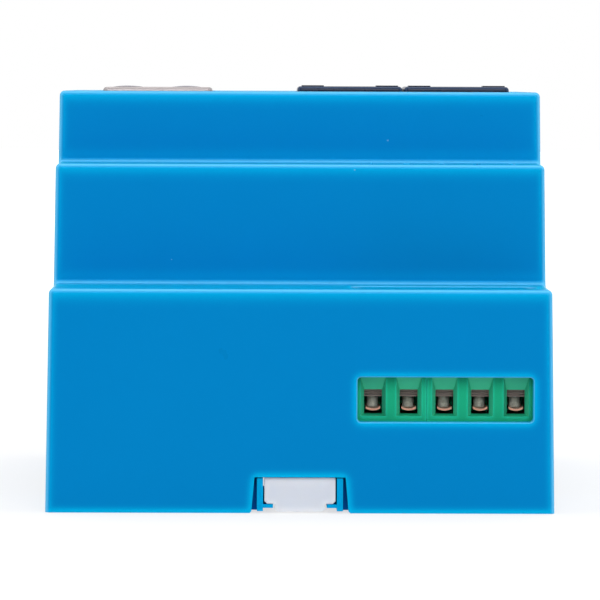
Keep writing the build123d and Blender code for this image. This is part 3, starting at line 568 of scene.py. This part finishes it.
# Circuit boards
# The boards are glass laminate under green lacquer, with a painted glow and painted highlights, lighter
# and yellower, towards their rims.
board_green = plastic(
    "board_green",
    colour=(0.012, 0.12, 0.05, 1.0),
    rim_highlight_colour=(0.30, 0.33, 0.16, 1.0),
    gloss=0.28,
    grain_size=1800.0,
)
dress(board_green, "power_board", "comms_board", "riser_board")

# Screw terminals
# The blocks are moulded in green polyamide and set in rows on the board, with a painted glow near their
# edges and painted highlights on their rounded rims. Their clamps are plated sheet metal, with copper
# alloy strips as wire guards.
terminal_green = plastic(
    "terminal_green",
    colour=(0.008, 0.40, 0.20, 1.0),
    rim_highlight_colour=(0.16, 0.84, 0.48, 1.0),
    gloss=0.46,
    mottle=0.3,
    glow_colour=(0.02, 0.64, 0.40, 1.0),
    reach=0.0006,
    dust=0.3,
    Specular_Tint=(0.15, 0.9, 0.55, 1.0),
)
dress(terminal_green, "supply_terminal_block_1", "supply_terminal_block_2")
dress(terminal_green, "sensor_terminal_block_1", "sensor_terminal_block_2")

# The metal group: brushed or rolled sheet with tarnish in patches
line_stretch = (1.0, 0.06, 1.0)
line_gloss_range = 0.3
line_height = 0.00002

metal, taken, given = new_group(
    "metal_surface",
    ("Tarnish", "Patch Scale", "Gloss", "Line Scale", "Line Depth"),
    ("Colour", "Tarnish Colour"),
)
where = add_node(metal, "ShaderNodeTexCoord")
stretch = add_node(metal, "ShaderNodeMapping", Scale=line_stretch)
metal.links.new(where.outputs["Object"], stretch.inputs["Vector"])
lines = add_node(metal, "ShaderNodeTexNoise", Detail=3.0)
metal.links.new(stretch.outputs["Vector"], lines.inputs["Vector"])
metal.links.new(taken.outputs["Line Scale"], lines.inputs["Scale"])
patches = noise_node(metal, where, Detail=4.0, Roughness=0.6)
metal.links.new(taken.outputs["Patch Scale"], patches.inputs["Scale"])
mask = math_node(metal, "MULTIPLY", patches.outputs["Fac"], taken.outputs["Tarnish"])
tarnished = mix_colours(metal, mask, taken.outputs["Colour"], taken.outputs["Tarnish Colour"])
metal.links.new(tarnished, given.inputs["Colour"])
vary_gloss(metal, taken, given, lines, line_gloss_range)
raise_bump(metal, given, lines, taken.outputs["Line Depth"], line_height)


def bare_metal(
    name,
    colour,
    tarnish_colour,
    gloss,
    tarnish=0.5,
    patch_scale=420.0,
    line_scale=5000.0,
    line_depth=0.2,
    metallic=1.0,
):
    """A metal finish from the metal group."""
    settings = {
        "Colour": colour,
        "Tarnish Colour": tarnish_colour,
        "Tarnish": tarnish,
        "Patch Scale": patch_scale,
        "Gloss": gloss,
        "Line Scale": line_scale,
        "Line Depth": line_depth,
    }
    return finish_from(name, metal, settings, {"Metallic": metallic})


clamp_metal = bare_metal(
    "clamp_metal",
    colour=(0.20, 0.165, 0.15, 1.0),
    tarnish_colour=(0.09, 0.07, 0.06, 1.0),
    gloss=0.46,
)
dress(clamp_metal, "supply_clamp_cages", "sensor_clamp_cages")
guard_copper = bare_metal(
    "guard_copper",
    colour=(0.66, 0.37, 0.27, 1.0),
    tarnish_colour=(0.42, 0.2, 0.12, 1.0),
    gloss=0.34,
)
terminal_rows = (("supply", 5), ("sensor", 6))
for row, poles in terminal_rows:
    for number in range(1, poles + 1):
        dress(guard_copper, f"{row}_wire_guard_{number}")

# Clamp screws
# Turned steel with a rolled thread, a flat matt end and a slotted head. They take the place of the plain
# ones, and each rides on its own screw's body.
smooth_angle = 35.0
screw_end_radius = 0.00082
screw_end_rim = 0.00014
screw_end_length = 0.00165
screw_crest_radius = 0.00124
screw_thread_depth = 0.00022
screw_pitch = 0.00045
screw_rows_per_turn = 6
screw_head_radius = 0.00184
screw_head_height = 0.0013
screw_head_rim = 0.00025
screw_slot_width = 0.0007
screw_slot_depth = 0.0008
screw_slot_cutter = 0.02
screw_turn = 47.0
screw_sides = 36


def finished(name, mesh, material, body):
    """Puts a mesh in the scene as a piece with its finish, slot and body, smooth but for its sharp edges."""
    mesh.name = name
    mesh.materials.clear()
    mesh.materials.append(material)
    mesh.shade_smooth()
    mesh.set_sharp_from_angle(angle=math.radians(smooth_angle))
    piece = bpy.data.objects.new(name, mesh)
    bpy.context.scene.collection.objects.link(piece)
    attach(piece, body)
    return piece


def turned(rings, sides, extra=None):
    """A closed turned shape about Z from rings of radius and height. Extra adds to a vertex's radius."""
    shape = bmesh.new()
    rows = []
    for radius, height in rings:
        row = []
        for side in range(sides):
            share = side / sides
            reach = radius + (extra(height, share) if extra else 0.0)
            angle = 2 * math.pi * share
            row.append(shape.verts.new((reach * math.cos(angle), reach * math.sin(angle), height)))
        rows.append(row)
    for low, high in zip(rows, rows[1:]):
        for side in range(sides):
            after = (side + 1) % sides
            shape.faces.new((low[side], low[after], high[after], high[side]))
    shape.faces.new(list(reversed(rows[0])))
    shape.faces.new(rows[-1])
    return shape


def shape_object(name, shape):
    """Puts a shape in the scene as an object to work with, and frees the shape."""
    mesh = bpy.data.meshes.new(name)
    shape.to_mesh(mesh)
    shape.free()
    item = bpy.data.objects.new(name, mesh)
    bpy.context.scene.collection.objects.link(item)
    return item


def final_mesh(item):
    """The mesh of an object with its modifiers applied."""
    ready = bpy.context.evaluated_depsgraph_get()
    return bpy.data.meshes.new_from_object(item.evaluated_get(ready))


def slotted(shape, top):
    """Cuts a screwdriver slot across the top of a turned shape and gives its mesh."""
    cutter_shape = bmesh.new()
    bmesh.ops.create_cube(cutter_shape, size=1.0)
    size = Matrix.Diagonal((screw_slot_cutter, screw_slot_width, 2 * screw_slot_depth, 1))
    place = Matrix.Translation((0, 0, top)) @ size
    bmesh.ops.transform(cutter_shape, matrix=place, verts=cutter_shape.verts)
    blank = shape_object("screw_blank", shape)
    cutter = shape_object("slot_cutter", cutter_shape)
    cut = blank.modifiers.new("slot", "BOOLEAN")
    cut.operation = "DIFFERENCE"
    cut.object = cutter
    result = final_mesh(blank)
    for item in (blank, cutter):
        bpy.data.objects.remove(item)
    return result


low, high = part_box("supply_clamp_screw_1")
screw_height = high.z - low.z
head_low = screw_height - screw_head_height
thread_low = screw_end_length + screw_pitch / 2
thread_high = head_low - screw_pitch / 2
thread_length = thread_high - thread_low
thread_rows = round(thread_length / screw_pitch * screw_rows_per_turn)


def thread_wave(height, share):
    """How far the thread's flank lies inside its crest at a height and a share of a turn."""
    if not thread_low < height < thread_high:
        return 0.0
    phase = (height / screw_pitch - share) % 1.0
    return -screw_thread_depth * abs(2 * phase - 1)


screw_rings = [
    (screw_end_radius - screw_end_rim, 0.0),
    (screw_end_radius - screw_end_rim / 3, screw_end_rim / 3),
    (screw_end_radius, screw_end_rim),
    (screw_end_radius, screw_end_length),
    (screw_crest_radius, screw_end_length + screw_pitch / 4),
]
for step in range(thread_rows + 1):
    screw_rings.append((screw_crest_radius, thread_low + thread_length * step / thread_rows))
screw_rings += [
    (screw_crest_radius, head_low),
    (screw_head_radius - screw_head_rim / 2, head_low),
    (screw_head_radius, head_low + screw_head_rim / 2),
    (screw_head_radius, screw_height - screw_head_rim),
    (screw_head_radius - screw_head_rim / 3, screw_height - screw_head_rim / 3),
    (screw_head_radius - screw_head_rim, screw_height),
]
clamp_screw = slotted(turned(screw_rings, screw_sides, thread_wave), screw_height)
clamp_steel = bare_metal(
    "clamp_screw_metal",
    colour=(0.86, 0.98, 0.91, 1.0),
    tarnish_colour=(0.12, 0.19, 0.15, 1.0),
    gloss=0.55,
    tarnish=1.1,
    patch_scale=2400.0,
    line_depth=0.3,
    metallic=0.2,
)
for row, poles in terminal_rows:
    for number in range(1, poles + 1):
        node = f"{row}_clamp_screw_{number}"
        low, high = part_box(node)
        middle = (low + high) / 2
        mesh = clamp_screw.copy()
        mesh.transform(
            Matrix.Translation((middle.x, middle.y, low.z))
            @ Matrix.Rotation(math.radians(number * screw_turn), 4, "Z")
        )
        body = frame["nodes"][node]["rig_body"]
        screw = finished(f"{row}_threaded_screw_{number}", mesh, clamp_steel, body)
        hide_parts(node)
small_steel = bare_metal(
    "small_screws",
    colour=(0.6, 0.6, 0.6, 1.0),
    tarnish_colour=(0.4, 0.38, 0.33, 1.0),
    gloss=0.3,
)
dress(small_steel, "board_screws", "comms_board_screws")

# Strap ridges
# Two rolled ridges stiffen each clamp's strap, where it shows in the wire entry.
ridge_heights = (0.00028, 0.00062)
ridge_radius = 0.00011
ridge_length = 0.0024
ridge_sides = 12

ridge_half = ridge_length / 2
ridge_rings = [
    (ridge_radius / 2, -ridge_half),
    (ridge_radius, -ridge_half + ridge_radius),
    (ridge_radius, ridge_half - ridge_radius),
    (ridge_radius / 2, ridge_half),
]
ridge_across = Matrix.Rotation(math.radians(90), 4, "Y")
for row, poles in terminal_rows:
    low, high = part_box(f"{row}_clamp_cages")
    front = low.y if row == "supply" else high.y
    screw_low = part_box(f"{row}_clamp_screw_1")[0]
    strap_low = screw_low.z + screw_end_length
    ridges = bmesh.new()
    for number in range(1, poles + 1):
        low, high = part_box(f"{row}_clamp_screw_{number}")
        x = (low.x + high.x) / 2
        for height in ridge_heights:
            ridge = turned(ridge_rings, ridge_sides)
            place = Matrix.Translation((x, front, strap_low + height))
            bmesh.ops.transform(ridge, matrix=place @ ridge_across, verts=ridge.verts)
            ridge_mesh = bpy.data.meshes.new("ridge")
            ridge.to_mesh(ridge_mesh)
            ridge.free()
            ridges.from_mesh(ridge_mesh)
            bpy.data.meshes.remove(ridge_mesh)
    mesh = bpy.data.meshes.new("ridges")
    ridges.to_mesh(mesh)
    ridges.free()
    finished(f"{row}_strap_ridges", mesh, clamp_metal, "meter")

# Moulded numbers
# Plain numbers stand on the upper step over the poles, upright when the supply end is nearest.
number_size = 0.0021
number_height = 0.00022
number_bevel = 0.00003
number_back = 0.0021
number_weld = 0.000001
step_top = 0.0483
step_front = {"supply": -0.0311, "sensor": 0.0311}


def number_mesh(text):
    """A raised number with a narrow bevel, middled on the origin."""
    words = bpy.data.curves.new("number", "FONT")
    words.body = text
    words.size = number_size
    words.align_x = "CENTER"
    words.align_y = "CENTER"
    words.extrude = number_height / 2
    words.bevel_depth = number_bevel
    shown = bpy.data.objects.new("number", words)
    bpy.context.scene.collection.objects.link(shown)
    mesh = final_mesh(shown)
    bpy.data.objects.remove(shown)
    return mesh


for row, poles in terminal_rows:
    away = number_back if row == "supply" else -number_back
    numbers = bmesh.new()
    for number in range(1, poles + 1):
        low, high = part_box(f"{row}_clamp_screw_{number}")
        digit = number_mesh(str(number))
        digit.transform(Matrix.Translation(((low.x + high.x) / 2, step_front[row] + away, step_top)))
        numbers.from_mesh(digit)
        bpy.data.meshes.remove(digit)
    bmesh.ops.remove_doubles(numbers, verts=numbers.verts, dist=number_weld)
    bmesh.ops.recalc_face_normals(numbers, faces=numbers.faces)
    mesh = bpy.data.meshes.new("numbers")
    numbers.to_mesh(mesh)
    numbers.free()
    finished(f"{row}_moulded_numbers", mesh, housing_blue, "meter")

# Modular jacks
# The network jack has a folded tin-plated shield round a black body. The bus jacks are bare black
# polyamide. Each has eight gold-plated spring contacts.
shield_metal = bare_metal(
    "shield_metal",
    colour=(0.42, 0.385, 0.385, 1.0),
    tarnish_colour=(0.32, 0.28, 0.29, 1.0),
    gloss=0.48,
    tarnish=0.4,
    line_scale=2500.0,
    line_depth=0.03,
)
dress(shield_metal, "network_jack_shield")
# The black bodies carry painted blue-grey highlights on their rounded rims and a faint painted glow.
jack_black = plastic(
    "jack_black",
    colour=(0.002, 0.008, 0.030, 1.0),
    rim_highlight_colour=(0.03, 0.06, 0.13, 1.0),
    gloss=0.28,
    edge=0.7,
    glow=0.1,
    grain_depth=0.2,
    Specular_IOR_Level=0.25,
)
dress(jack_black, "network_jack_body", "bus_jack_left_body", "bus_jack_right_body")
contact_gold = bare_metal(
    "contact_gold",
    colour=(0.86, 0.62, 0.26, 1.0),
    tarnish_colour=(0.6, 0.4, 0.16, 1.0),
    gloss=0.22,
    tarnish=0.3,
)
dress(contact_gold, "network_jack_contacts", "bus_jack_left_contacts", "bus_jack_right_contacts")

# Status lamps and light pipes
# Small white lamp bodies stand on the upper board, with clear moulded pipes above them.
# Both take a painted glow near their edges and painted highlights on their rims.
lamp_white = plastic(
    "lamp_white",
    colour=(0.8, 0.8, 0.74, 1.0),
    rim_highlight_colour=(0.9, 0.9, 0.86, 1.0),
    gloss=0.3,
    mottle=0.2,
)
dress(lamp_white, "status_lamps")
pipe_clear = plastic(
    "light_pipe_clear",
    colour=(0.92, 0.95, 0.97, 1.0),
    rim_highlight_colour=(1.0, 1.0, 1.0, 1.0),
    gloss=0.12,
    mottle=0.1,
    grain_depth=0.05,
    Transmission_Weight=0.5,
    IOR=1.49,
)
dress(pipe_clear, "light_pipes")

# Parts on the boards
# A ferrite transformer under tape, two sleeved capacitors, a boxed fuse, lacquered discs and chips.
# Each takes a painted glow near its edges and painted highlights on its rims, lighter than its colour.
ferrite = plastic(
    "ferrite_grey",
    colour=(0.05, 0.05, 0.055, 1.0),
    rim_highlight_colour=(0.12, 0.12, 0.125, 1.0),
    gloss=0.55,
    grain_size=900.0,
    grain_depth=0.6,
)
dress(ferrite, "transformer_core")
tape_yellow = plastic(
    "winding_yellow",
    colour=(0.7, 0.5, 0.06, 1.0),
    rim_highlight_colour=(0.85, 0.68, 0.2, 1.0),
    gloss=0.25,
)
dress(tape_yellow, "transformer_winding")
sleeve = plastic(
    "capacitor_sleeve",
    colour=(0.02, 0.02, 0.035, 1.0),
    rim_highlight_colour=(0.06, 0.06, 0.09, 1.0),
    gloss=0.22,
)
dress(sleeve, "bulk_capacitor_left", "bulk_capacitor_right")
fuse_case = plastic(
    "fuse_brown",
    colour=(0.16, 0.07, 0.035, 1.0),
    rim_highlight_colour=(0.3, 0.16, 0.1, 1.0),
    gloss=0.3,
)
dress(fuse_case, "supply_fuse")
lacquer = plastic(
    "varistor_blue",
    colour=(0.02, 0.08, 0.3, 1.0),
    rim_highlight_colour=(0.05, 0.14, 0.4, 1.0),
    gloss=0.3,
    grain_size=1500.0,
    grain_depth=0.5,
)
dress(lacquer, "surge_varistor_1", "surge_varistor_2", "surge_varistor_3")
chip_black = plastic(
    "chip_black",
    colour=(0.02, 0.02, 0.021, 1.0),
    rim_highlight_colour=(0.05, 0.05, 0.05, 1.0),
    gloss=0.5,
)
dress(chip_black, "measuring_chip", "processor_chip")
